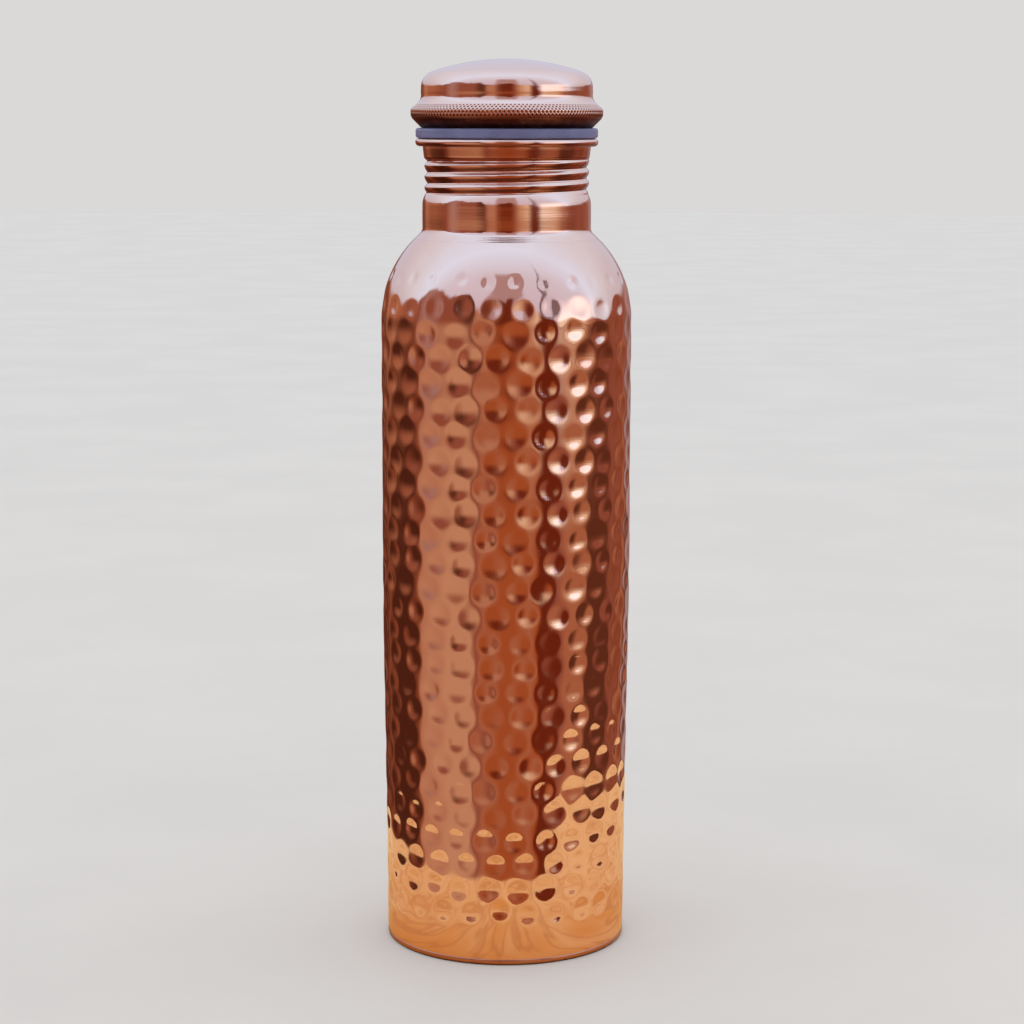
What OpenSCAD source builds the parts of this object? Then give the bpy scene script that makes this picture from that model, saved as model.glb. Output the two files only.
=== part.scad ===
// Screw-top drinking bottle of thin sheet copper.
// The axis is +Z, and the bottle stands on z = 0. All sizes are in millimetres.
// The hammered dimples of the wall and the knurl of the bead are surface finish, and are left plain here.

/* [Body] */
// Outer diameter of the straight wall
body_d = 75; // [73:0.5:78]
// Outer diameter just above the heel
foot_d = 72.4; // [70:0.2:73]
// Height where the wall stops widening and becomes a true cylinder
straight_from = 110; // [80:5:130]
// Height where the wall starts to turn in at the shoulder
shoulder_z = 189.5; // [170:0.5:200]
// Radius of the shoulder's round
shoulder_round = 33.3; // [31:0.1:34]
// Radius where the shoulder ends and the neck is joined
seam_r = 27.4; // [27:0.1:28]
// Radius of the heel
heel_r = 0.8; // [0.7:0.1:2]
// Width of the flat ring that the bottle stands on
land_w = 2; // [1.5:0.1:3]
// Height of the pressed bottom above the ground
dish_h = 2.4; // [1.8:0.1:4]
// Thickness of the copper sheet
sheet = 0.55; // [0.5:0.01:0.6]

/* [Neck] */
// Outer diameter of the smooth band below the thread
neck_d = 50.2; // [49.8:0.1:50.4]
// Radius of the hollow between shoulder and neck
neck_fillet = 2.4; // [2:0.1:3]
// Height of the smooth band, from the hollow to where it bends in
band_h = 6.6; // [5.8:0.1:8.4]
// Height of the threaded zone, with the bend below it
thread_h = 14.5; // [13.5:0.1:15.5]
// Height from the thread to the top of the lip
lip_h = 5.3; // [4.6:0.1:6.5]
// Outer diameter of the rolled lip
lip_d = 54.3; // [53.8:0.1:54.6]
// Radius of the lip's roll
hem_r = 1.2; // [1.1:0.05:1.3]

/* [Thread] */
// Rise in one turn of the single-start right-hand thread
pitch = 3.2; // [3:0.05:3.4]
// Turn of the thread's start about the axis, in degrees
thread_start = -25; // [-180:5:180]
// Outer diameter over the thread's crests
crest_d = 49; // [48.8:0.1:49.2]
// Depth of the thread's groove
thread_depth = 0.95; // [0.7:0.05:1]
// Radial clearance between the neck's thread and the plug's
thread_gap = 0.25; // [0.2:0.01:0.3]

/* [Seal] */
// Outer diameter of the sealing ring
seal_d = 54.1; // [53.2:0.1:54.2]
// Inner diameter of the sealing ring
seal_bore_d = 47.2; // [46.8:0.1:47.6]
// Thickness of the sealing ring
seal_h = 2.9; // [2.5:0.1:3.5]

/* [Lid] */
// Outer diameter of the cap's wall
cap_d = 50.9; // [50:0.1:51.2]
// Outer diameter of the bead
bead_d = 57.1; // [56.8:0.1:57.4]
// Height of the cap, from the bead's lower edge to the crown
cap_h = 20.15; // [19:0.05:22]
// Radius of the crown's dome
dome_r = 68; // [60:0.5:75]
// Radius between the crown and the wall
crown_round = 5; // [3:0.1:5.5]
// Depth of the plug below the lip
plug_depth = 18; // [17:0.1:18.5]

/* [Hidden] */

copper = "#c8764f";
bright_copper = "#d98a62";
inner_copper = "#b5694a";
silicone = "#c9cdea";

turns_fn = 40;       // straight sides round each threaded piece
ring_step = 0.44;    // height between rings of a threaded surface
touch = 0.05;        // gap between faces that rest on each other
bend_in = 1.3;       // how far the smooth band bends in below the thread
bend_h = 4;          // height of that bend
seam_gap_a = 0.2;    // angle round the shoulder of the hairline where the neck's skirt meets it
lap_a = 4;           // angle round the shoulder that the neck's skirt reaches under it

// Body and neck, from the ground up
body_r = body_d / 2;
foot_r = foot_d / 2;
neck_r = neck_d / 2;
crest_r = crest_d / 2;
land_r = foot_r - heel_r - land_w;
shoulder_c = [body_r - shoulder_round, shoulder_z];
seam_a = acos((seam_r - shoulder_c[0]) / shoulder_round);
seam_dir = [cos(seam_a), sin(seam_a)];
seam_p = shoulder_c + shoulder_round * seam_dir;
// The hollow's centre lies neck_fillet outside the neck and outside the shoulder's last slope
fillet_x = neck_r + neck_fillet;
fillet_z = seam_p[1] + (neck_fillet - (fillet_x - seam_p[0]) * seam_dir[0]) / seam_dir[1];
thread_z0 = fillet_z + band_h;
thread_z1 = thread_z0 + thread_h;
lip_z = thread_z1 + lip_h;
wall_under_lip_r = neck_r - 0.15;
hem_c = [lip_d / 2 - hem_r, lip_z - hem_r];

// Lid, from the lip up
seal_z0 = lip_z + touch;
flange_z = seal_z0 + seal_h + touch;
plug_z0 = lip_z - plug_depth;
plug_crest_r = crest_r - sheet - thread_gap;
plug_root_r = plug_crest_r - thread_depth;
plug_neck_r = plug_root_r + 0.35;
plug_corner = 2.5;
cap_r = cap_d / 2;
bead_r = bead_d / 2;
bead_z0 = flange_z + 0.02;
bead_under_r = 2.6;                    // round of the bead's underside
bead_edge_r = 1.1;                     // round of the bead's upper edge
bead_lip_r = bead_r - 3.15;            // radius of the bead's lower edge
bead_mid_z = bead_z0 + (bead_r - bead_under_r * (1 - cos(45)) - bead_lip_r) + bead_under_r * sin(45);
flare_r = 3;                           // hollow between the cap's wall and the bead
flare_a = 52;                          // angle that this hollow turns through
bead_top_c = [bead_r - bead_edge_r, bead_mid_z + 0.8];
flare_end = bead_top_c + [bead_edge_r * cos(flare_a), bead_edge_r * sin(flare_a)];
flare_run = flare_end[0] - (cap_r + flare_r * (1 - cos(flare_a)));
flare_z = flare_end[1] + flare_run / tan(flare_a) + flare_r * sin(flare_a);
crown_z = bead_z0 + cap_h;
dome_c = [0, crown_z - dome_r];
round_x = cap_r - crown_round;
round_z = dome_c[1] + sqrt(pow(dome_r - crown_round, 2) - pow(round_x, 2));
round_a = atan2(round_z - dome_c[1], round_x);

// Points along an arc from angle a0 to a1, with n steps
function arc(c, r, a0, a1, n) =
    [for (i = [0:n]) c + r * [cos(a0 + (a1 - a0) * i / n), sin(a0 + (a1 - a0) * i / n)]];

function reversed(list) = [for (i = [len(list) - 1:-1:0]) list[i]];

// Smooth step from 0 at a to 1 at b
function ramp(x, a, b) = let (t = min(1, max(0, (x - a) / (b - a)))) t * t * (3 - 2 * t);

// Depth of the rolled thread at height z and angle a: 0 at the crest, 1 in the groove
groove_at = 0.42;
function turn_part(z, a) = let (u = z / pitch - (a + thread_start) / 360) u - floor(u);
function groove(z, a) =
    let (u = turn_part(z, a))
    u < groove_at ? (1 - cos(180 * u / groove_at)) / 2
                  : (1 + cos(180 * (u - groove_at) / (1 - groove_at))) / 2;

// Outer radius of the neck in the threaded zone. The smooth band bends in below the thread, and the
// thread runs out into that bend and into the plain wall under the lip.
function neck_thread_r(z, a) =
    let (bend = neck_r - bend_in * pow(max(0, z - thread_z0) / bend_h, 2.2))
    let (flare = max(0, z - thread_z1 + 1.4) / (lip_z - 2.8 - thread_z1 + 1.4))
    let (crest = crest_r + (wall_under_lip_r - crest_r) * flare)
    let (thread = crest - thread_depth * (1 - ramp(z, thread_z1 - 1.4, thread_z1)) * groove(z, a))
    bend + (thread - bend) * ramp(z, thread_z0 + bend_h - 0.9, thread_z0 + bend_h + 0.4);

// Outer radius of the plug, whose thread follows the inside of the neck's
function plug_thread_r(z, a) =
    let (start = plug_z0 + plug_corner)
    let (thread = plug_crest_r - thread_depth * groove(z, a))
    let (low = plug_root_r + (thread - plug_root_r) * ramp(z, start, start + 1.5))
    low + (plug_neck_r - low) * ramp(z, lip_z - 3.5, lip_z - 1.5);

function ring_heights(z0, z1) =
    let (n = ceil((z1 - z0) / ring_step)) [for (i = [0:n]) z0 + (z1 - z0) * i / n];

neck_rings = ring_heights(thread_z0, thread_z1);
plug_rings = ring_heights(plug_z0 + plug_corner, lip_z - 1.5);

// Section of the neck at angle a: up its outside, round the lip's roll and down its inside
function neck_section(a) = concat(
    arc(shoulder_c, shoulder_round - sheet - touch, seam_a - lap_a, seam_a + seam_gap_a, 3),
    [shoulder_c + shoulder_round * [cos(seam_a + seam_gap_a), sin(seam_a + seam_gap_a)]],
    arc([fillet_x, fillet_z], neck_fillet, 180 + seam_a, 180, 5),
    [for (z = neck_rings) [neck_thread_r(z, a), z]],
    [[wall_under_lip_r, lip_z - 2.8]],
    [[wall_under_lip_r, lip_z - sheet]],
    arc(hem_c, hem_r - sheet, 90, -90, 4),
    [[wall_under_lip_r + 0.25, hem_c[1] - hem_r + sheet]],
    [[wall_under_lip_r + 0.25, hem_c[1] - hem_r]],
    arc(hem_c, hem_r, -90, 90, 6),
    arc([wall_under_lip_r - sheet + 0.7, lip_z - 0.7], 0.7, 90, 180, 3),
    [[wall_under_lip_r - sheet, lip_z - 2.8]],
    [for (z = reversed(neck_rings)) [neck_thread_r(z, a) - sheet, z]],
    arc([fillet_x, fillet_z], neck_fillet + sheet, 180, 180 + seam_a, 5),
    arc(shoulder_c, shoulder_round - 2 * sheet - touch, seam_a, seam_a - lap_a, 3)
);

// Section of the plug at angle a: from its bottom up the outside to the flange, then down the inside
function plug_section(a) = concat(
    arc([plug_root_r - plug_corner, plug_z0 + plug_corner], plug_corner, -90, -18, 3),
    [for (z = plug_rings) [plug_thread_r(z, a), z]],
    [[plug_neck_r, flange_z - 0.4]],
    [[plug_neck_r + 0.4, flange_z]],
    [[bead_lip_r - sheet * sqrt(2) - 0.1, flange_z]],
    [[bead_lip_r + 0.7, flange_z + 0.8 + sheet * sqrt(2) + 0.1]],
    [[bead_lip_r + 0.7 - sheet / sqrt(2), flange_z + 0.8 + sheet * sqrt(2) + 0.1 + sheet / sqrt(2)]],
    [[bead_lip_r - 1.1, flange_z + sheet]],
    [[plug_neck_r - sheet + 0.4, flange_z + sheet]],
    [[plug_neck_r - sheet, flange_z + sheet - 0.4]],
    [for (z = reversed(plug_rings)) [plug_thread_r(z, a) - sheet, z]],
    arc([plug_root_r - plug_corner, plug_z0 + plug_corner], plug_corner - sheet, -18, -90, 3)
);

// Solid of one section per step round the axis. A closed section makes a ring; an open one is
// capped flat at its first and last points.
module swept_sections(sections, open_bottom) {
    steps = len(sections);
    n = len(sections[0]);
    points = [for (k = [0:steps - 1]) for (p = sections[k])
        let (a = 360 * k / steps) [p[0] * cos(a), p[0] * sin(a), p[1]]];
    last = open_bottom ? n - 1 : n - 2;
    sides = [for (k = [0:steps - 1]) for (i = [0:last])
        let (k2 = (k + 1) % steps, j = (i + 1) % n) [k * n + i, k * n + j, k2 * n + j, k2 * n + i]];
    caps = open_bottom ? [] : [
        [for (k = [0:steps - 1]) k * n],
        [for (k = [steps - 1:-1:0]) k * n + n - 1]
    ];
    polyhedron(points, concat(sides, caps), convexity = 12);
}

module body_shell() {
    outer = concat(
        [[land_r, 0]],
        arc([foot_r - heel_r, heel_r], heel_r, -90, 0, 7),
        [[body_r, straight_from]],
        arc(shoulder_c, shoulder_round, 0, seam_a, 16)
    );
    inner = concat(
        [[land_r, sheet]],
        arc([foot_r - heel_r, heel_r], heel_r - sheet, -90, 0, 7),
        [[body_r - sheet, straight_from]],
        arc(shoulder_c, shoulder_round - sheet, 0, seam_a, 16)
    );
    color(copper) rotate_extrude($fn = 180) polygon(concat(outer, reversed(inner)));
}

module base_disc() {
    rim_r = foot_r - heel_r - 0.1;
    dish_r = land_r - 3.5;
    color(inner_copper) rotate_extrude($fn = 180) polygon([
        [0, dish_h],
        [dish_r, dish_h],
        [land_r - 1.6, sheet],
        [rim_r, sheet],
        [rim_r, 2 * sheet],
        [land_r - 1.4, 2 * sheet],
        [dish_r + 0.2, dish_h + sheet],
        [0, dish_h + sheet]
    ]);
}

module neck_collar() {
    color(bright_copper) swept_sections([for (k = [0:turns_fn - 1]) neck_section(360 * k / turns_fn)], true);
}

module seal_ring() {
    edge = 0.4;
    seal_r = seal_d / 2;
    bore_r = seal_bore_d / 2;
    color(silicone) translate([0, 0, seal_z0]) rotate_extrude($fn = 180) polygon(concat(
        [[bore_r, 0]],
        arc([seal_r - edge, edge], edge, -90, 0, 3),
        arc([seal_r - edge, seal_h - edge], edge, 0, 90, 3),
        [[bore_r, seal_h]]
    ));
}

module lid_cap() {
    flare_c = [cap_r + flare_r, flare_z];
    under_c = [bead_r - bead_under_r, bead_mid_z];
    edge_in = sheet / sqrt(2);
    outer = concat(
        arc(dome_c, dome_r, 90, round_a, 8),
        arc([round_x, round_z], crown_round, round_a, 0, 6),
        arc(flare_c, flare_r, 180, 180 + flare_a, 5),
        arc(bead_top_c, bead_edge_r, flare_a, 0, 3),
        arc(under_c, bead_under_r, 0, -45, 4),
        [[bead_lip_r, bead_z0]]
    );
    inner = concat(
        arc(dome_c, dome_r - sheet, 90, round_a, 8),
        arc([round_x, round_z], crown_round - sheet, round_a, 0, 6),
        arc(flare_c, flare_r + sheet, 180, 180 + flare_a, 5),
        arc(bead_top_c, bead_edge_r - sheet, flare_a, 0, 3),
        arc(under_c, bead_under_r - sheet, 0, -45, 4),
        [[bead_lip_r - edge_in, bead_z0 + edge_in]]
    );
    color(bright_copper) rotate_extrude($fn = 180) polygon(concat(outer, reversed(inner)));
}

module lid_plug() {
    color(inner_copper) swept_sections([for (k = [0:turns_fn - 1]) plug_section(360 * k / turns_fn)], false);
}

body_shell();
base_disc();
neck_collar();
seal_ring();
lid_cap();
lid_plug();
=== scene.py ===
"""Hammered copper drinking bottle with a screw lid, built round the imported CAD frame."""
import math

import bpy
import numpy as np
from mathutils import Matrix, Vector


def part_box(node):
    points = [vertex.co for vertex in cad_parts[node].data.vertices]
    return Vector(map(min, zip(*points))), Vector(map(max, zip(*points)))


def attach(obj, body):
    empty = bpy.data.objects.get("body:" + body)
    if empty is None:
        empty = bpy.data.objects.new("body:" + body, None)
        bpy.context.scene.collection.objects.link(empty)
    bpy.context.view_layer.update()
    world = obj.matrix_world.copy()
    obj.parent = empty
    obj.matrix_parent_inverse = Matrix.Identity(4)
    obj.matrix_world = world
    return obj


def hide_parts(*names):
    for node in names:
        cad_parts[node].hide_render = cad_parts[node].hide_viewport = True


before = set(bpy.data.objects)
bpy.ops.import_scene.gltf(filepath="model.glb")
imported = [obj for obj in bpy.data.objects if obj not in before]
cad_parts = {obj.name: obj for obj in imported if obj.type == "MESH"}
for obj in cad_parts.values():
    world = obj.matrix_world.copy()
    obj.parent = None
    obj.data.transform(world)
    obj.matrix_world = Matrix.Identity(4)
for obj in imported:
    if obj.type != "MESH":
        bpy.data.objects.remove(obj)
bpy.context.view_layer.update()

MM = 0.001


def node_box(node):
    """Radius, lowest and highest z of a turned CAD node, in millimetres."""
    low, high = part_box(node)
    return high.x / MM, low.z / MM, high.z / MM


# Sizes are in millimetres, and a point of a profile is (radius, height). These are read from the frame.
BODY_R, _, SEAM_Z = node_box("body_shell")
_, _, LIP_Z = node_box("neck_collar")
SEAL_R, SEAL_Z0, SEAL_Z1 = node_box("seal_ring")
BEAD_R, BEAD_Z0, CROWN_Z = node_box("lid_cap")
_, PLUG_Z0, _ = node_box("lid_plug")

# The rest repeat the part's own sizes
SHEET = 0.55            # gauge of the copper
TOUCH = 0.05            # gap between faces that meet

FOOT_R = 36.2           # the wall tapers to this at the ground
HEEL_R = 0.8            # round between the wall and the ground
LAND_R = 33.4           # inner edge of the turned-in foot
DISH_H = 2.4            # height of the dished bottom
STRAIGHT_FROM = 110     # above this the wall doesn't taper
SHOULDER_Z = 189.5      # start of the shoulder
SHOULDER_ROUND = 33.3
SHOULDER_C = np.array([BODY_R - SHOULDER_ROUND, SHOULDER_Z])
SEAM_R = 27.4           # where the shoulder's edge laps the neck
SEAM_A = math.degrees(math.acos((SEAM_R - SHOULDER_C[0]) / SHOULDER_ROUND))

NECK_R = 25.1           # band between the shoulder and the thread
BAND_H = 6.6
NECK_FILLET = 2.4       # round at the band's foot
FILLET_X = NECK_R + NECK_FILLET
FILLET_RISE = NECK_FILLET - (FILLET_X - SEAM_R) * math.cos(math.radians(SEAM_A))
FILLET_C = np.array([FILLET_X, SEAM_Z + FILLET_RISE / math.sin(math.radians(SEAM_A))])
THREAD_Z0 = FILLET_C[1] + BAND_H
THREAD_Z1 = THREAD_Z0 + 14.5
BEND_IN = 1.3           # the wall bends in by this below the thread
BEND_H = 4
LIP_WALL_R = NECK_R - 0.15
LIP_WALL_Z = LIP_Z - 2.8
HEM_R = 1.2             # half the thickness of the lip's hem
HEM_C = np.array([27.15 - HEM_R, LIP_Z - HEM_R])

PITCH = 3.2
THREAD_START = -25      # degrees
THREAD_DEPTH = 0.95
GROOVE_AT = 0.36        # share of the pitch from a crest to the groove over it
RUN_OUT = 1.4           # height over which the thread fades out
CREST_R = 24.5
PLUG_CREST_R = 23.7
PLUG_ROOT_R = 22.75
PLUG_NECK_R = 23.1
PLUG_CORNER = 2.5
FLANGE_Z = SEAL_Z1 + TOUCH

CAP_R = 25.45
CRIMP_R = BEAD_R - 3.15  # inner edge of the crimp under the bead
UNDER_R = 2.6           # round of the bead's underside
UNDER_A = math.radians(45)
UNDER_REACH = BEAD_R - UNDER_R * (1 - math.cos(UNDER_A)) - CRIMP_R
BEAD_MID_Z = BEAD_Z0 + UNDER_REACH + UNDER_R * math.sin(UNDER_A)
UNDER_C = np.array([BEAD_R - UNDER_R, BEAD_MID_Z])
EDGE_R = 1.1            # round of the bead's upper side
EDGE_C = np.array([BEAD_R - EDGE_R, BEAD_MID_Z + 0.8])
FLARE_R = 3             # hollow round between the bead and the cap's wall
FLARE_A = 52
FLARE_SIN, FLARE_COS = math.sin(math.radians(FLARE_A)), math.cos(math.radians(FLARE_A))
FLARE_RUN = EDGE_C[0] + EDGE_R * FLARE_COS - CAP_R - FLARE_R * (1 - FLARE_COS)
FLARE_Z = EDGE_C[1] + EDGE_R * FLARE_SIN + FLARE_RUN * FLARE_COS / FLARE_SIN + FLARE_R * FLARE_SIN
FLARE_C = np.array([CAP_R + FLARE_R, FLARE_Z])
CROWN_ROUND = 5         # round between the wall and the dome
DOME_R = 68
DOME_C = np.array([0, CROWN_Z - DOME_R])
ROUND_X = CAP_R - CROWN_ROUND
ROUND_C = np.array([ROUND_X, DOME_C[1] + math.sqrt((DOME_R - CROWN_ROUND) ** 2 - ROUND_X ** 2)])
ROUND_A = math.degrees(math.atan2(ROUND_C[1] - DOME_C[1], ROUND_C[0]))


# ---------------------------------------------------------------- profiles and meshes

def arc(centre, radius, start, end, step=4.0):
    """Points along an arc, in degrees, with about one point per step."""
    n = max(2, round(abs(end - start) / step))
    a = np.radians(np.linspace(start, end, n + 1))
    return np.c_[centre[0] + radius * np.cos(a), centre[1] + radius * np.sin(a)]


def walk(points, step):
    """Even points along a profile, their normals on its right-hand side and the way walked to each."""
    keep = np.r_[True, np.hypot(*np.diff(points, axis=0).T) > 1e-6]
    points = points[keep]
    s = np.r_[0, np.cumsum(np.hypot(*np.diff(points, axis=0).T))]
    t = np.linspace(0, s[-1], max(1, round(s[-1] / step)) + 1)
    at = np.c_[np.interp(t, s, points[:, 0]), np.interp(t, s, points[:, 1])]
    ahead = np.gradient(at, axis=0)
    ahead /= np.hypot(*ahead.T)[:, None]
    return at, np.c_[ahead[:, 1], -ahead[:, 0]], t


def heights(z0, z1, step):
    return np.linspace(z0, z1, round((z1 - z0) / step) + 1)


def ramp(x, a, b):
    """Smooth step from 0 at a to 1 at b, where b may be the lower of the two."""
    t = np.clip((x - a) / (b - a), 0, 1)
    return t * t * (3 - 2 * t)


def angles(count):
    return 2 * math.pi * np.arange(count) / count


def ring(r, z, count):
    """One ring of count points. r and z are numbers, or one value for each point."""
    a = angles(count)
    return np.c_[r * np.cos(a), r * np.sin(a), np.broadcast_to(z, a.shape)]


def rings(profile, count):
    return [ring(r, z, count) for r, z in profile]


def pole(z):
    """A ring of one point, on the axis."""
    return np.array([[0.0, 0.0, z]])


def stitch(a, b, na, nb):
    """Faces between ring a and the next ring b, from their first indices and their counts."""
    if na == 1 or nb == 1:
        n = max(na, nb)
        j = np.arange(n)
        k = (j + 1) % n
        if na == 1:
            return np.c_[np.full(n, a), b + k, b + j].tolist()
        return np.c_[a + j, a + k, np.full(n, b)].tolist()
    if na == nb:
        j = np.arange(na)
        k = (j + 1) % na
        return np.c_[a + j, a + k, b + k, b + j].tolist()
    # One count is a whole multiple of the other: a fan from each coarse point to the fine ones beside it
    n, many = min(na, nb), max(na, nb)
    ratio = many // n
    coarse, fine = (a, b) if na < nb else (b, a)
    faces = []
    for j in range(n):
        k = (j + 1) % n
        for i in range(ratio):
            p, q = fine + j * ratio + i, fine + (j * ratio + i + 1) % many
            faces.append([coarse + (j if i < ratio // 2 else k), q, p])
        faces.append([coarse + j, coarse + k, fine + j * ratio + ratio // 2])
    return faces if na < nb else [f[::-1] for f in faces]


def turned(name, stack, closed, sharp=35):
    """A mesh object from a stack of rings. A closed stack joins its last ring to its first."""
    start = np.r_[0, np.cumsum([len(r) for r in stack])]
    order = list(range(len(stack)))
    after = order[1:] + order[:1] if closed else order[1:]
    faces = []
    for i, k in zip(order, after):
        faces += stitch(start[i], start[k], len(stack[i]), len(stack[k]))
    mesh = bpy.data.meshes.new(name)
    mesh.from_pydata((np.concatenate(stack) * MM).tolist(), [], faces)
    mesh.shade_smooth()
    mesh.set_sharp_from_angle(angle=math.radians(sharp))
    piece = bpy.data.objects.new(name, mesh)
    bpy.context.scene.collection.objects.link(piece)
    return piece


def set_patina_and_shade(piece, shares):
    """Store each point's share of darkening, which the copper's material reads: patina in hollows, and
    painted shade.
    """
    layer = piece.data.attributes.new("patina_and_shade", "FLOAT", "POINT")
    layer.data.foreach_set("value", np.clip(shares, 0, 1).astype(np.float32))


def set_patina_and_shade_by_shape(piece, amount):
    """Set the darkening share, patina and painted shade, from a function of each point's height and upward
    normal.
    """
    data = piece.data
    at, normal = np.empty(3 * len(data.vertices)), np.empty(3 * len(data.vertices))
    data.vertices.foreach_get("co", at)
    data.vertex_normals.foreach_get("vector", normal)
    set_patina_and_shade(piece, amount(at[2::3] / MM, normal[2::3]))


# ---------------------------------------------------------------- hammered body

BODY_COLUMNS = 336
BODY_STEP = 0.86        # between rings up the wall
INNER_RATIO = 4         # the inside has one column, and one ring, for this many outside
RIM_H = 1.75            # height of the crimped rim at the foot
RIM_IN = 0.14           # depth of the groove over it
GROOVE_H = 1.5
# The groove's outline, as (share of its depth, height over its bottom)
RIM_GROOVE = [(0, -0.2), (0.15, -0.15), (1, 0), (0.9, 0.2), (0.2, 0.9)]

DIMPLES_ROUND = 26
DIMPLE_ROWS = 26
DIMPLE_R = 3.55
DIMPLE_DEPTH = 0.40
DIMPLE_REACH = 2.4      # a mark is felt as far as this many of its radii
LEAST_R = 30            # no ring on the hammered stretch is narrower
FIRST_ROW = 13.4        # way from the shoulder's start up to the first row
ROW_GAP = 7.5
ROW_GAPS = {0: 8.0, 1: 7.1}
STAGGER = 0.17          # rows lean this share of a mark's spacing to either side by turns
RIM = 0.065             # softness of the marks' rims
WIDE = 0.24             # share of a mark's depth in the broad hollow round it
LAND_LIFT = 0.07        # the surface between the marks is lifted back out by this
LAND_SOFT = 0.03
DRIFT = 0.05            # slow unevenness of the wall
HAMMER_SEED = 11


def dimples():
    """The hammer marks as (way up from the shoulder's start, turn, radius, depth), from the top down."""
    rng = np.random.default_rng(HAMMER_SEED)
    marks = []
    s = FIRST_ROW
    for row in range(DIMPLE_ROWS):
        top, soft = row == 0, row == 1 or row > DIMPLE_ROWS - 4
        row_size = DIMPLE_R * (0.52 if top else 0.88 if soft else 1)
        row_depth = DIMPLE_DEPTH * (0.9 if top else 0.85 if soft else 1.05)
        shift = (STAGGER if row % 2 else -STAGGER) + rng.normal(0, 0.07)
        for i in range(DIMPLES_ROUND):
            turn = (i + shift + rng.normal(0, 0.05)) / DIMPLES_ROUND
            size = row_size * rng.uniform(0.86, 1.1)
            depth = row_depth * rng.uniform(0.72, 1.15)
            if top and rng.random() < 0.25:
                depth *= 0.3
            marks.append((s + rng.normal(0, 0.45), turn, size, depth))
        s -= ROW_GAPS.get(row, ROW_GAP)
    return marks


def hammer(s, r):
    """Depth of the hammered surface, for rings of radius r at ways s up the wall, in each column."""
    turn = np.arange(BODY_COLUMNS) / BODY_COLUMNS
    total = np.zeros((len(s), BODY_COLUMNS))
    wide = np.zeros_like(total)
    for height, at, size, depth in dimples():
        near = np.nonzero(abs(s - height) < DIMPLE_REACH * size)[0]
        across = ((turn - at + 0.5) % 1 - 0.5) * 2 * math.pi
        columns = np.nonzero(abs(across) < DIMPLE_REACH * size / LEAST_R)[0]
        q2 = ((s[near] - height)[:, None] ** 2 + (r[near][:, None] * across[columns]) ** 2) / size ** 2
        # Where marks overlap the deeper one wins, with a soft rim between them
        cell = np.ix_(near, columns)
        total[cell] += np.exp(np.clip(depth * (1 - q2) / RIM, -40, 40))
        wide[cell] += WIDE * depth * np.exp(-q2 / 1.7)
    up = s[:, None]
    drift = np.sin(up / 9.0 + 3 * 2 * math.pi * turn) * np.sin(7 * 2 * math.pi * turn - up / 23.0)
    # The shoulder's upper part is left smooth
    below = ramp(up, SHOULDER_ROUND * 0.55, SHOULDER_ROUND * 0.3)
    deep = RIM * np.log1p(total) + (wide + DRIFT * (1 + drift)) * below - LAND_LIFT
    return (deep + np.sqrt(deep ** 2 + LAND_SOFT ** 2)) / 2


def deepest_near(row):
    """The deepest mark near each inner column."""
    wide = np.max([np.roll(row, i) for i in range(-INNER_RATIO, INNER_RATIO + 1)], axis=0)
    return wide[::INNER_RATIO]


def body_mesh():
    heel_c = (FOOT_R - HEEL_R, HEEL_R)
    slope = (BODY_R - FOOT_R) / (STRAIGHT_FROM - HEEL_R)
    wall_z0 = RIM_H + GROOVE_H
    wall_r0 = FOOT_R + slope * (wall_z0 - HEEL_R)
    wall = np.concatenate([
        [[wall_r0, wall_z0]],
        [[BODY_R, STRAIGHT_FROM]],
        arc(SHOULDER_C, SHOULDER_ROUND, 0, SEAM_A, 1),
    ])
    # A shallow groove runs round the wall just above the ground, where the bottom is crimped in
    foot = np.concatenate([
        [[LAND_R, 0]],
        arc(heel_c, HEEL_R, -90, 0, 6),
        [[FOOT_R - share * RIM_IN, RIM_H + rise] for share, rise in RIM_GROOVE],
    ])
    at, normal, t = walk(wall, BODY_STEP)
    s = t - math.hypot(STRAIGHT_FROM - wall_z0, BODY_R - wall_r0) - (SHOULDER_Z - STRAIGHT_FROM)
    keep = ramp(at[:, 1], 3, 9) * ramp(at[:, 1], SEAM_Z, SEAM_Z - 4)
    depth = hammer(s, at[:, 0]) * keep[:, None]
    stack = rings(foot, BODY_COLUMNS)
    for (r, z), (nr, nz), h in zip(at, normal, depth):
        stack.append(ring(r - nr * h, z - nz * h, BODY_COLUMNS))
    # The inside follows the deepest hammer marks, so that the sheet is never thinner than SHEET
    coarse = BODY_COLUMNS // INNER_RATIO
    for i in range(len(at) - 1, -1, -INNER_RATIO):
        (r, z), (nr, nz) = at[i], normal[i]
        h = deepest_near(depth[max(0, i - INNER_RATIO):i + INNER_RATIO + 1].max(0)) + SHEET
        stack.append(ring(r - nr * h, z - nz * h, coarse))
    inner_heel = arc(heel_c, HEEL_R - SHEET, 0, -90, 8)
    stack += rings([*inner_heel[1:], (LAND_R, SHEET)], coarse)
    piece = turned("hammered_body", stack, True)
    set_patina_and_shade_by_shape(piece, foot_contact_shade_and_rim)
    return piece


def foot_contact_shade_and_rim(z, _):
    """Painted contact shade where the foot meets the ground, and a darker crimped rim."""
    return 0.75 * ramp(z, 0.9, 0.1) + 0.32 * ramp(z, RIM_H + 0.2, RIM_H - 0.05)


# ---------------------------------------------------------------- rolled neck and plug

SWELL = 0.04            # how far spinning has left a straight wall proud at its middle


def groove(z, a):
    """Depth of the rolled thread: 0 at the crest, 1 in the groove. The upper face is a plain slope,
    the lower one a hollow that the rolling tool left, and the crest between them is barely rounded."""
    u = z / PITCH - (np.degrees(a) + THREAD_START) / 360
    depth = 0
    for blur in (-0.04, -0.02, 0, 0.02, 0.04):
        v = (u + blur) % 1
        depth = depth + np.where(v < GROOVE_AT, v / GROOVE_AT, ((1 - v) / (1 - GROOVE_AT)) ** 1.8)
    return depth / 5


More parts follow.
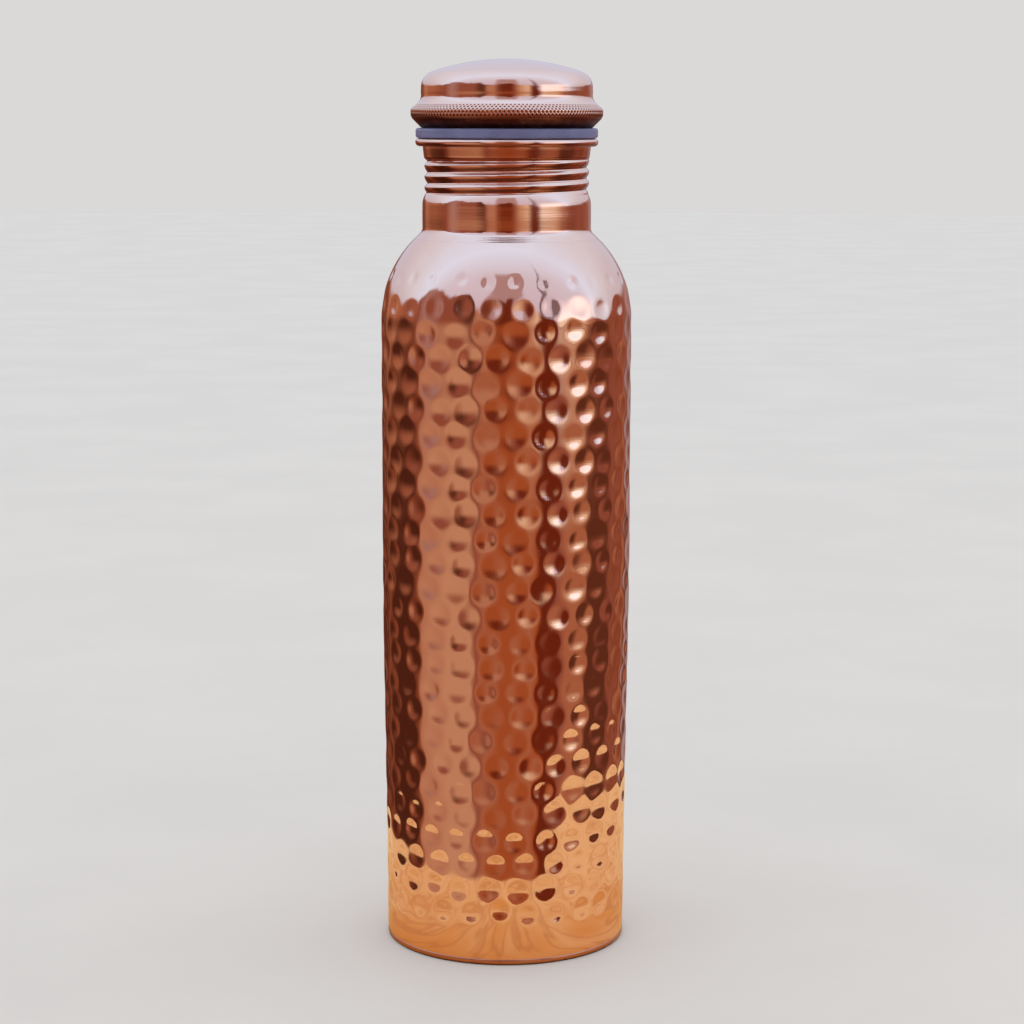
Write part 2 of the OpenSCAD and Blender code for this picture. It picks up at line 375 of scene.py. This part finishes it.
def neck_thread_r(z, a):
    """Outer radius of the neck from the bend over its band to the end of its thread."""
    bend = NECK_R - BEND_IN * (max(0, z - THREAD_Z0) / BEND_H) ** 2.2
    flare = max(0, z - THREAD_Z1 + RUN_OUT) / (LIP_WALL_Z - THREAD_Z1 + RUN_OUT)
    crest = CREST_R + (LIP_WALL_R - CREST_R) * flare
    thread = crest - THREAD_DEPTH * (1 - ramp(z, THREAD_Z1 - RUN_OUT, THREAD_Z1)) * groove(z, a)
    return bend + (thread - bend) * ramp(z, THREAD_Z0 + BEND_H - 0.9, THREAD_Z0 + BEND_H + 0.4)


def plug_thread_r(z, a):
    """Outer radius of the plug from its corner up to its plain neck."""
    thread = PLUG_CREST_R - THREAD_DEPTH * groove(z, a)
    low = PLUG_ROOT_R + (thread - PLUG_ROOT_R) * ramp(z, PLUG_Z0 + PLUG_CORNER, PLUG_Z0 + PLUG_CORNER + 1.5)
    return low + (PLUG_NECK_R - low) * ramp(z, LIP_Z - 3.5, LIP_Z - 1.5)


def spun_wall(r, z0, z1):
    """Points up a straight wall that spinning has left with a slight swell, without its two ends."""
    inner = heights(z0, z1, 0.4)[1:-1]
    return [(r + SWELL * math.sin(math.pi * (z - z0) / (z1 - z0)) ** 2, z) for z in inner]


def neck_mesh():
    count = 240
    a = angles(count)
    lap = SHOULDER_ROUND - SHEET - TOUCH
    seam = math.radians(SEAM_A + 0.03)
    hem_edge, hem_z = LIP_WALL_R + 0.25, HEM_C[1] - HEM_R
    inner_r = LIP_WALL_R - SHEET
    mouth_r = 0.7
    thread_end = np.array([neck_thread_r(THREAD_Z1, 0.0), THREAD_Z1])
    rise = np.array([LIP_WALL_R, LIP_WALL_Z]) - thread_end
    stack = rings(arc(SHOULDER_C, lap, SEAM_A - 4, SEAM_A, 0.6), count)
    stack += rings([SHOULDER_C + SHOULDER_ROUND * np.array([math.cos(seam), math.sin(seam)])], count)
    stack += rings(arc(FILLET_C, NECK_FILLET, 180 + SEAM_A, 180, 5), count)
    stack += rings(spun_wall(NECK_R, FILLET_C[1], THREAD_Z0), count)
    stack += [ring(neck_thread_r(z, a), z, count) for z in heights(THREAD_Z0, THREAD_Z1, 0.12)]
    stack += rings([thread_end + rise * t for t in (0.25, 0.5, 0.75, 1)], count)
    stack += rings([(LIP_WALL_R, LIP_Z - 1.6), (LIP_WALL_R, LIP_Z - SHEET)], count)
    stack += rings(arc(HEM_C, HEM_R - SHEET, 90, -90, 20), count)
    stack += rings([(hem_edge, hem_z + SHEET), (hem_edge, hem_z)], count)
    stack += rings(arc(HEM_C, HEM_R, -90, 90, 9), count)
    stack += rings(arc((inner_r + mouth_r, LIP_Z - mouth_r), mouth_r, 90, 180, 18), count)
    stack += rings([(inner_r, LIP_Z - 1.8), (inner_r, LIP_WALL_Z)], count)
    stack += [ring(neck_thread_r(z, a) - SHEET, z, count) for z in heights(THREAD_Z0, THREAD_Z1, 0.3)[::-1]]
    stack += rings(arc(FILLET_C, NECK_FILLET + SHEET, 180, 180 + SEAM_A, 8), count)
    stack += rings(arc(SHOULDER_C, lap - SHEET, SEAM_A, SEAM_A - 4, 1), count)
    piece = turned("rolled_neck", stack, True)
    set_patina_and_shade_by_shape(piece, neck_painted_shade)
    return piece


def neck_painted_shade(z, up):
    """Painted shade on the thread's downward faces and on the wall under the lip."""
    underside = 0.42 * ramp(up, -0.12, -0.5)
    lip_wall = 0.22 * ramp(z, THREAD_Z1 - 0.6, THREAD_Z1 + 0.6) * ramp(z, LIP_Z - 2.2, LIP_Z - 3.2)
    return ramp(z, THREAD_Z0 + 3, THREAD_Z0 + 5) * (underside + lip_wall)


def plug_mesh():
    count = 192
    a = angles(count)
    corner = (PLUG_ROOT_R - PLUG_CORNER, PLUG_Z0 + PLUG_CORNER)
    z0, z1 = PLUG_Z0 + PLUG_CORNER, LIP_Z - 1.5
    inner_r = PLUG_NECK_R - SHEET
    bend = 0.4
    # The flange rises into the crimp at 45 degrees
    tab = SHEET / math.sqrt(2)
    slant = SHEET * math.sqrt(2) + 0.1
    tip_r, tip_z = CRIMP_R + 0.7, FLANGE_Z + 0.8 + slant
    stack = [pole(PLUG_Z0)]
    stack += rings([(r, PLUG_Z0) for r in (4, 8, 12, 16)], count // 4)
    stack += rings(arc(corner, PLUG_CORNER, -90, -10, 8), count)
    stack += [ring(plug_thread_r(z, a), z, count) for z in heights(z0, z1, 0.2)]
    stack += rings([(PLUG_NECK_R, z) for z in (LIP_Z - 0.5, LIP_Z + 1.5, FLANGE_Z - bend)], count)
    stack += rings([(PLUG_NECK_R + 0.3 * bend, FLANGE_Z - 0.3 * bend), (PLUG_NECK_R + bend, FLANGE_Z)], count)
    stack += rings([(CRIMP_R - slant, FLANGE_Z), (tip_r, tip_z)], count)
    stack += rings([(tip_r - tab, tip_z + tab), (CRIMP_R - 1.1, FLANGE_Z + SHEET)], count)
    stack += rings([(inner_r + bend, FLANGE_Z + SHEET), (inner_r, FLANGE_Z + SHEET - bend)], count)
    stack += [ring(plug_thread_r(z, a) - SHEET, z, count) for z in heights(z0, z1, 0.4)[::-1]]
    stack += rings(arc(corner, PLUG_CORNER - SHEET, -10, -90, 10), count)
    stack += rings([(r, PLUG_Z0 + SHEET) for r in (16, 8)], count // 4)
    stack.append(pole(PLUG_Z0 + SHEET))
    return turned("screw_plug", stack, False)


# ---------------------------------------------------------------- lid, seal and base

KNURL_COLUMNS = 864
KNURL_TURNS = 72        # crossing lines of each hand round the bead
KNURL_ROW = 2.0         # height of one whole diamond
KNURL_DEPTH = 0.26
KNURL_FROM = -34        # the knurl starts here on the bead's underside, in degrees


def cap_mesh():
    count = KNURL_COLUMNS // 4
    a = angles(KNURL_COLUMNS)
    tab = SHEET / math.sqrt(2)
    flare_a = 180 + FLARE_A
    inside = np.concatenate([
        arc(DOME_C, DOME_R - SHEET, 88.5, ROUND_A, 1.6),
        arc(ROUND_C, CROWN_ROUND - SHEET, ROUND_A, 0, 10),
        arc(FLARE_C, FLARE_R + SHEET, 180, flare_a, 8),
        arc(EDGE_C, 0.1, FLARE_A, 0, 26),
        arc(UNDER_C, UNDER_R - SHEET - 0.25, 0, -45, 12),
        [[CRIMP_R - tab, BEAD_Z0 + tab]],
    ])
    under = np.concatenate([[[CRIMP_R, BEAD_Z0]], arc(UNDER_C, UNDER_R, -45, KNURL_FROM, 3)])
    knurled = np.concatenate([
        arc(UNDER_C, UNDER_R, KNURL_FROM, 0, 1),
        arc(EDGE_C, EDGE_R, 0, FLARE_A, 2),
        arc(FLARE_C, FLARE_R, flare_a, flare_a - 2, 1),
    ])
    flare = arc(FLARE_C, FLARE_R, flare_a - 2, 180, 3)
    wall = spun_wall(CAP_R, FLARE_C[1], ROUND_C[1])
    dome = arc(DOME_C, DOME_R, ROUND_A, 89, 0.8)
    crown = np.concatenate([arc(ROUND_C, CROWN_ROUND, 0, ROUND_A, 4), dome[1:]])
    stack = [pole(CROWN_Z - SHEET)] + rings(inside, count)
    stack += rings(walk(under, 0.25)[0][:-1], count)
    # Patina fills the knurl's pits, painted shade darkens the bead's underside, and the cap's inside is a
    # little darker
    patina_and_shade = [np.full(len(s), 1.0 if i > len(inside) else 0.3) for i, s in enumerate(stack)]
    at, normal, t = walk(knurled, 0.12)
    edge = ramp(t, 0, 1.0) * ramp(t, t[-1], t[-1] - 0.5)
    for (r, z), (nr, nz), s, fade in zip(at, normal, t, edge):
        lean = math.pi * s / KNURL_ROW
        pit = fade * np.abs(np.sin(KNURL_TURNS * a + lean) * np.sin(KNURL_TURNS * a - lean))
        h = KNURL_DEPTH * pit
        stack.append(ring(r - nr * h, z - nz * h, KNURL_COLUMNS))
        # Painted shade on the bead's lower side, below its middle, on top of the patina in the pits
        below = ramp(z, BEAD_MID_Z + 0.6, BEAD_MID_Z - 1.6)
        patina_and_shade.append(0.9 * ramp(pit, 0.35, 0.85) + below * (0.75 + 0.25 * pit))
    clean = rings(flare[1:], count) + rings(wall, count) + rings(crown, count) + [pole(CROWN_Z)]
    patina_and_shade += [np.zeros(len(s)) for s in clean]
    piece = turned("knurled_cap", stack + clean, False, 50)
    set_patina_and_shade(piece, np.concatenate(patina_and_shade))
    return piece


def seal_mesh():
    bore_r = 23.6
    edge, inner_edge = 0.75, 0.3
    profile = np.concatenate([
        arc((bore_r + inner_edge, SEAL_Z0 + inner_edge), inner_edge, 180, 270, 18),
        arc((SEAL_R - edge, SEAL_Z0 + edge), edge, -90, 0, 10),
        arc((SEAL_R - edge, SEAL_Z1 - edge), edge, 0, 90, 10),
        arc((bore_r + inner_edge, SEAL_Z1 - inner_edge), inner_edge, 90, 180, 18),
    ])
    return turned("silicone_seal", rings(profile, 224), True)


def base_mesh():
    """A dished disc. Its upper face is its lower one turned over and raised by the sheet's gauge."""
    count = 168
    rim_r = FOOT_R - HEEL_R - 0.1
    dish_r = LAND_R - 3.5
    slope = math.degrees(math.atan2(DISH_H - SHEET, LAND_R - 1.6 - dish_r))
    upper_round, lower_round = 1.5, 1.0
    middle = DISH_H + 0.3
    below = np.concatenate([
        [[6, DISH_H + 0.25], [12, DISH_H + 0.2], [18, DISH_H + 0.1], [24, DISH_H]],
        arc((dish_r - 0.8, DISH_H - upper_round), upper_round, 90, 90 - slope, 8),
        arc((LAND_R - 1.2, SHEET + lower_round), lower_round, 270 - slope, 270, 8),
        [[rim_r, SHEET]],
    ])
    above = below[::-1] + (0, SHEET)
    stack = [pole(middle)] + rings(below, count) + rings(above, count) + [pole(middle + SHEET)]
    return turned("pressed_base", stack, False)


# ---------------------------------------------------------------- node graphs

class Graph:
    """Short calls for building a node tree. A value is a number, a tuple or an output socket."""

    def __init__(self, tree):
        self.tree = tree
        tree.nodes.clear()

    def put(self, node, key, value):
        if isinstance(value, bpy.types.NodeSocket):
            self.tree.links.new(value, node.inputs[key])
        else:
            node.inputs[key].default_value = value

    def node(self, kind, inputs=(), **settings):
        made = self.tree.nodes.new(kind)
        for key, value in settings.items():
            setattr(made, key, value)
        for key, value in dict(inputs).items():
            self.put(made, key, value)
        return made

    def math(self, operation, *values):
        return self.node("ShaderNodeMath", dict(enumerate(values)), operation=operation).outputs[0]

    def times(self, *values):
        """Product of two or more values."""
        product = values[0]
        for value in values[1:]:
            product = self.math("MULTIPLY", product, value)
        return product

    def smooth(self, value, low, high, out_low=0.0, out_high=1.0):
        """Smooth step from out_low, where the value is low, to out_high, where it is high."""
        made = self.node(
            "ShaderNodeMapRange",
            {"Value": value, "From Min": low, "From Max": high, "To Min": out_low, "To Max": out_high},
            interpolation_type="SMOOTHSTEP",
        )
        return made.outputs[0]

    def near(self, value, centre, inner, outer, most):
        """most where the value is within inner of the centre, fading to 0 at outer."""
        away = self.math("ABSOLUTE", self.math("SUBTRACT", value, centre))
        return self.smooth(away, inner, outer, most, 0)

    def noise(self, vector, scale, detail=2.0, rough=0.5):
        inputs = {"Vector": vector, "Scale": scale, "Detail": detail, "Roughness": rough}
        return self.node("ShaderNodeTexNoise", inputs).outputs["Fac"]

    def wave(self, value, detail, rough=0.5):
        """Noise along one value."""
        inputs = {"W": value, "Scale": 1.0, "Detail": detail, "Roughness": rough}
        return self.node("ShaderNodeTexNoise", inputs, noise_dimensions="1D").outputs["Fac"]

    def mix(self, factor, a, b):
        """Mix of two colours."""
        made = self.node("ShaderNodeMix", data_type="RGBA")
        for key, value in ((0, factor), (6, a), (7, b)):
            self.put(made, key, (*value, 1) if isinstance(value, tuple) else value)
        return made.outputs[2]

    def stretched(self, vector, scale):
        return self.node("ShaderNodeMapping", {"Vector": vector, "Scale": scale}).outputs[0]

    def xyz(self, vector):
        return self.node("ShaderNodeSeparateXYZ", {"Vector": vector}).outputs

    def ramp(self, factor, stops):
        made = self.node("ShaderNodeValToRGB", {"Fac": factor})
        elements = made.color_ramp.elements
        while len(elements) < len(stops):
            elements.new(0.5)
        for element, (position, colour) in zip(elements, stops):
            element.position = position
        for element, (position, colour) in zip(elements, stops):
            element.color = (*colour, 1)
        return made.outputs["Color"]

    def turn(self, x, y):
        """Angle round the upright axis in radians, from the camera's side and growing to its right."""
        return self.math("ARCTAN2", x, self.times(y, -1))

    def ramp_round(self, turn, stops):
        """Colour ramp over a whole turn, with its stops in degrees from -180 to 180."""
        around = self.math("ADD", self.math("DIVIDE", turn, 2 * math.pi), 0.5)
        return self.ramp(around, [((degrees + 180) / 360, colour) for degrees, colour in stops])


def linear(r, g, b):
    """Scene-linear colour of an 8-bit screen colour."""
    screen = (r / 255, g / 255, b / 255)
    return tuple(c / 12.92 if c <= 0.04045 else ((c + 0.055) / 1.055) ** 2.4 for c in screen)


# ---------------------------------------------------------------- materials

COPPER = (0.955, 0.60, 0.45)
COPPER_DEEP = (0.90, 0.50, 0.34)
# The next two colours are the darkening's: patina in hollows, and painted shade on undersides
COPPER_DARK = (0.78, 0.36, 0.23)
DARK_PATINA_AND_SHADE = (0.12, 0.035, 0.025)
SILICONE_DARK = (0.145, 0.145, 0.27)
SILICONE_PALE = (0.185, 0.185, 0.34)
LATHE_SCALE = 2600      # turning marks in a metre
BUMP = 0.0001           # metres


def blank(name):
    """A new material, its node graph and its object coordinates."""
    material = bpy.data.materials.new(name)
    material.use_nodes = True
    g = Graph(material.node_tree)
    return material, g, g.node("ShaderNodeTexCoord").outputs["Object"]


def lathe_marks(g, place):
    """Turning marks: a fine pattern that depends on height and radius, and hardly on the angle."""
    x, y, z = g.xyz(place)
    radius = g.math("SQRT", g.math("ADD", g.math("POWER", x, 2), g.math("POWER", y, 2)))
    turn = g.times(g.math("ARCTAN2", y, x), 1.2)
    marks = {0: g.times(radius, LATHE_SCALE), 1: g.times(z, LATHE_SCALE), 2: turn}
    return g.noise(g.node("ShaderNodeCombineXYZ", marks).outputs[0], 1.0, 3, 0.6)


def scratches(g, place):
    """Fine upright scratches from polishing."""
    return g.noise(g.stretched(place, (1, 1, 0.06)), 2200, 2, 0.5)


def copper(name, rough, marks, marks_depth, tarnish, patina_and_shade):
    """Polished copper with faint tarnish. marks is the function that draws its finest relief."""
    material, g, place = blank(name)
    smudge = g.noise(place, 55, 3, 0.55)
    cloud = g.noise(g.stretched(place, (1, 1, 0.35)), 140, 4, 0.6)
    colour = g.mix(g.smooth(smudge, 0.42, 0.72, 0, tarnish), COPPER, COPPER_DEEP)
    roughness = g.smooth(cloud, 0.35, 0.7, rough * 0.75, rough * 1.5)
    if patina_and_shade:
        # Darkening from the attribute: patina in the knurl's pits, a darker crimped rim, and painted shade on
        # the undersides, under the lip and where the foot meets the ground
        patina_and_shade_share = g.node("ShaderNodeAttribute", attribute_name="patina_and_shade").outputs["Fac"]
        patina_and_shade_share = g.times(patina_and_shade_share, g.smooth(g.noise(place, 300, 3, 0.6), 0.25, 0.6, 0.85, 1.0))
        colour = g.mix(g.smooth(patina_and_shade_share, 0, 0.3), colour, g.mix(patina_and_shade_share, COPPER_DARK, DARK_PATINA_AND_SHADE))
        roughness = g.math("ADD", roughness, g.times(patina_and_shade_share, 0.3))
    height = g.times(marks(g, place), marks_depth)
    bump = g.node("ShaderNodeBump", {"Height": height, "Strength": 0.5, "Distance": BUMP})
    shader = g.node("ShaderNodeBsdfPrincipled", {
        "Base Color": colour, "Metallic": 1.0, "Roughness": roughness, "Normal": bump.outputs[0],
    })
    g.node("ShaderNodeOutputMaterial", {"Surface": shader.outputs[0]})
    return material


def silicone():
    material, g, place = blank("silicone")
    haze = g.noise(place, 160, 3, 0.5)
    colour = g.mix(g.smooth(haze, 0.3, 0.7), SILICONE_DARK, SILICONE_PALE)
    grain = g.noise(place, 3000, 2, 0.5)
    bump = g.node("ShaderNodeBump", {"Height": grain, "Strength": 0.15, "Distance": BUMP})
    shader = g.node("ShaderNodeBsdfPrincipled", {
        "Base Color": colour, "Roughness": g.smooth(haze, 0.3, 0.7, 0.32, 0.45), "Normal": bump.outputs[0],
        "Subsurface Weight": 0.6, "Subsurface Radius": (1.0, 1.0, 1.0), "Subsurface Scale": 0.0015,
        "IOR": 1.41,
    })
    g.node("ShaderNodeOutputMaterial", {"Surface": shader.outputs[0]})
    return material


# ---------------------------------------------------------------- the room that the copper reflects

# The studio is a dim room with a few cards. Each colour is what the polished copper shows of it.
DARK = (104, 32, 13)
BARK = (74, 30, 17)
SHADE = (92, 40, 23)
EARTH = (128, 58, 34)
RUST = (140, 68, 48)
AMBER = (158, 70, 34)
TAN = (164, 88, 58)
SAND = (176, 106, 76)
PALE = (188, 122, 88)
CREAM = (222, 166, 130)
LINEN = (236, 190, 160)
ROSE = (164, 108, 96)
ASH = (150, 114, 98)
LEDGE = (146, 70, 42)

# Cards round the room, as (degrees round from the camera, colour). Two rows: at eye level and below.
LOW_CARDS = [
    (-180, EARTH), (-168, RUST), (-156, BARK), (-138, EARTH), (-126, BARK), (-100, BARK), (-91, EARTH),
    (-85, SAND), (-56, PALE), (-38, PALE), (-28, RUST), (-20, TAN), (-6, AMBER), (8, AMBER), (20, TAN),
    (27, AMBER), (32, DARK), (42, DARK), (47, RUST), (58, TAN), (72, TAN), (80, SHADE), (102, SHADE),
    (114, RUST), (126, EARTH), (138, TAN), (146, SHADE), (156, ROSE), (166, ASH), (173, SHADE), (180, TAN),
]
EYE_CARDS = [
    (-180, TAN), (-168, EARTH), (-152, EARTH), (-140, SAND), (-128, TAN), (-116, TAN), (-90, RUST),
    (-78, ROSE), (-64, RUST), (-44, RUST), (-36, SHADE), (-30, SHADE), (-25, SAND), (-16, SAND),
    (-12, EARTH), (-6, DARK), (6, DARK), (11, RUST), (17, PALE), (29, CREAM), (35, DARK), (43, DARK),
    (48, LINEN), (68, CREAM), (80, SAND), (94, RUST), (114, RUST), (138, RUST), (152, ROSE), (172, ROSE),
    (180, TAN),
]
# Height of the cards' upper edge, as (degrees round from the camera, degrees above the horizon)
SKYLINE = [
    (-180, 5), (-120, 6), (-96, 9), (-80, 22), (-66, 26), (-54, 22), (-36, 26), (-30, 14), (-14, 13),
    (-9, 22), (7, 22), (12, 13), (30, 12), (36, 9), (46, 2), (96, 2), (130, 6), (180, 5),
]
SKYLINE_FULL = 60       # the ramp that holds the skyline covers this many degrees
SKYLINE_LOW = 10        # and starts this far below the horizon
LEDGE_RISE = -3.5
POST_AT = 39
# Overcast light above the cards, as (degrees from over the camera to behind the bottle, light)
SKY = [
    (0, (0.62, 0.62, 0.88)), (50, (0.68, 0.82, 1.15)), (80, (0.77, 1.12, 1.68)), (130, (0.72, 0.92, 1.25)),
    (172, (0.60, 0.66, 0.85)),
]
WINDOW = (1.40, 1.50, 1.75)
UNDER = (0.11, 0.055, 0.040)
SOFT_FILL = (0.90, 0.90, 0.90)
BACKDROP = (0.703, 0.694, 0.690)


def card_light(screen):
    """Light of a card that copper shows as this screen colour."""
    return tuple(c / metal for c, metal in zip(linear(*screen), COPPER))


def grey(value):
    return (value,) * 3


def cards(g, turn, degrees, rise):
    """The two rows of cards, which blend into each other, and the ledge on the right."""
    low = g.ramp_round(turn, [(a, card_light(c)) for a, c in LOW_CARDS])
    eye = g.ramp_round(turn, [(a, card_light(c)) for a, c in EYE_CARDS])
    right = g.times(g.smooth(degrees, 46, 50), g.smooth(degrees, 90, 130, 1, 0))
    # On the right the cards at eye level stand on a brown ledge
    on_ledge = g.times(right, g.smooth(rise, -4.0, -3.0))
    both = g.mix(g.math("MAXIMUM", g.smooth(rise, -11, 3), on_ledge), low, eye)
    ledge = g.times(right, g.near(rise, LEDGE_RISE, 0.15, 0.6, 0.9))
    return g.mix(ledge, both, card_light(LEDGE))


def skyline(g, turn):
    """Height of the cards' upper edge in degrees, a little ragged."""
    stops = [(a, grey((h + SKYLINE_LOW) / SKYLINE_FULL)) for a, h in SKYLINE]
    even = g.math("MULTIPLY_ADD", g.ramp_round(turn, stops), SKYLINE_FULL, -SKYLINE_LOW)
    ragged = g.wave(g.times(turn, 2.6), 3.0, 0.6)
    return g.times(even, g.math("MULTIPLY_ADD", ragged, 0.9, 0.55))


def sky(g, overhead, degrees, rise):
    """Overcast light with a window, somebody dim behind the camera, and a post beside the window."""
    light = g.ramp(overhead, [(a / 180, c) for a, c in SKY])
    window = g.times(g.smooth(degrees, 44, 50), g.smooth(degrees, 70, 100, 1, 0))
    window = g.times(window, g.smooth(rise, 6, 22, 0.9, 0))
    light = g.mix(window, light, WINDOW)
    person = g.times(g.near(degrees, 0, 14, 17, 0.85), g.smooth(rise, 48, 53, 1, 0))
    light = g.mix(person, light, card_light(ROSE))
    # The post thins to a hair's breadth near the zenith
    aside = g.math("ABSOLUTE", g.math("SUBTRACT", degrees, POST_AT))
    width = g.smooth(rise, 0, 72, 3.2, 0.25)
    post = g.smooth(g.math("SUBTRACT", aside, width), -0.4, 0.4, 1, 0)
    post = g.times(post, g.smooth(rise, 40, 70, 0.8, 0))
    return g.mix(post, light, card_light(SHADE))


def studio():
    """Glossy rays see the room, diffuse rays an even fill, and the camera a plain backdrop."""
    world = bpy.data.worlds.new("studio")
    bpy.context.scene.world = world
    world.use_nodes = True
    g = Graph(world.node_tree)
    x, y, z = g.xyz(g.node("ShaderNodeTexCoord").outputs["Generated"])
    rise = g.times(g.math("ARCSINE", z), 180 / math.pi)
    overhead = g.math("DIVIDE", g.math("ARCTAN2", z, g.times(y, -1)), math.pi)
    # The cards' edges are not quite upright
    sway = g.times(g.math("SUBTRACT", g.wave(g.times(rise, 0.04), 1.0), 0.5), 0.06)
    turn = g.math("ADD", g.turn(x, y), sway)
    degrees = g.times(turn, 180 / math.pi)
    over = g.smooth(g.math("SUBTRACT", rise, skyline(g, turn)), -2.0, 2.0)
    light = g.mix(over, cards(g, turn, degrees, rise), sky(g, overhead, degrees, rise))
    light = g.mix(g.smooth(rise, -60, -32, 1, 0), light, UNDER)
    path = g.node("ShaderNodeLightPath").outputs
    shown = g.mix(path["Is Glossy Ray"], SOFT_FILL, light)
    shown = g.mix(path["Is Camera Ray"], shown, BACKDROP)
    background = g.node("ShaderNodeBackground", {"Color": shown, "Strength": 1.0})
    g.node("ShaderNodeOutputWorld", {"Surface": background.outputs[0]})


# ---------------------------------------------------------------- floor and camera

FLOOR_RINGS = (20, 60, 120, 200, 320, 600, 1200, 2500, 6000)
FLOOR_COLOUR = (0.80, 0.775, 0.745)
FLOOR_GOLD = (0.80, 0.41, 0.09)
FLOOR_STRAW = (0.93, 0.68, 0.35)
FLOOR_VEIN = (0.62, 0.27, 0.07)
# How far the table reaches from the bottle, as (degrees round from the camera, metres)
TABLE_EDGE = [
    (-180, 0.17), (-140, 0.145), (-110, 0.13), (-90, 0.125), (-20, 0.115), (34, 0.115), (48, 0.205),
    (180, 0.205),
]
TABLE_FULL = 0.25       # the ramp that holds the edge covers this many metres

LENS = 91.65
CAMERA_PLACE = (0.00152, -0.7813, 0.2501)
LOOK_DOWN = 8.68        # degrees
CAMERA_ROLL = -0.13


def table_glow(g, place, away):
    """The floor as the copper shows it: golden close to the foot, paler further out, with veins."""
    swirl = g.noise(g.stretched(place, (1, 0.45, 1)), 38, 2, 0.5)
    pale = g.math("ADD", g.times(away, 9.0), g.times(swirl, 1.6))
    warm = g.mix(g.smooth(pale, 0.95, 1.95), FLOOR_GOLD, FLOOR_STRAW)
    vein = g.noise(g.stretched(place, (1, 0.25, 1)), 60, 2, 0.5)
    return g.mix(g.near(vein, 0.5, 0.0, 0.05, 0.55), warm, FLOOR_VEIN)


def floor():
    """A plain pale floor. In the copper only its near part shows, as a table's top would."""
    count = 96
    stack = rings([(r, 0) for r in FLOOR_RINGS[::-1]], count) + [pole(0)]
    piece = turned("floor", stack, False)
    material, g, place = blank("pale_floor")
    x, y, _ = g.xyz(place)
    glossy = g.node("ShaderNodeLightPath").outputs["Is Glossy Ray"]
    away = g.node("ShaderNodeVectorMath", {0: place}, operation="LENGTH").outputs["Value"]
    cloud = g.noise(place, 9, 4, 0.55)
    tint = g.mix(g.smooth(cloud, 0.3, 0.7), tuple(c * 0.96 for c in FLOOR_COLOUR), FLOOR_COLOUR)
    tint = g.mix(glossy, tint, table_glow(g, place, away))
    matt = g.node("ShaderNodeBsdfPrincipled", {"Base Color": tint, "Roughness": 0.75})
    edge = g.ramp_round(g.turn(x, y), [(a, grey(reach / TABLE_FULL)) for a, reach in TABLE_EDGE])
    beyond = g.math("SUBTRACT", away, g.times(edge, TABLE_FULL))
    gone = g.times(glossy, g.smooth(beyond, -0.003, 0.003))
    clear = g.node("ShaderNodeBsdfTransparent")
    mixed = g.node("ShaderNodeMixShader", {0: gone, 1: matt.outputs[0], 2: clear.outputs[0]})
    g.node("ShaderNodeOutputMaterial", {"Surface": mixed.outputs[0]})
    piece.data.materials.append(material)


def camera():
    data = bpy.data.cameras.new("camera")
    data.sensor_width = 36
    data.lens = LENS
    piece = bpy.data.objects.new("camera", data)
    piece.location = CAMERA_PLACE
    piece.rotation_euler = (math.radians(90 - LOOK_DOWN), math.radians(CAMERA_ROLL), 0)
    bpy.context.scene.collection.objects.link(piece)
    bpy.context.scene.camera = piece


# ---------------------------------------------------------------- the object

def add(piece, body, node, material):
    """The piece rides on a body, stands for a CAD node and takes a material."""
    piece.data.materials.append(material)
    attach(piece, body)
    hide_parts(node)


bpy.context.scene.view_settings.view_transform = "Standard"
camera()
studio()
floor()
hammered = copper("hammered_copper", 0.07, scratches, 0.10, tarnish=0.35, patina_and_shade=True)
polished = copper("polished_copper", 0.09, lathe_marks, 0.35, tarnish=0.25, patina_and_shade=True)
plain = copper("plain_copper", 0.16, lathe_marks, 0.2, tarnish=0.6, patina_and_shade=False)
add(body_mesh(), "bottle", "body_shell", hammered)
add(base_mesh(), "bottle", "base_disc", plain)
add(neck_mesh(), "bottle", "neck_collar", polished)
add(seal_mesh(), "seal", "seal_ring", silicone())
add(cap_mesh(), "lid", "lid_cap", polished)
add(plug_mesh(), "lid", "lid_plug", plain)
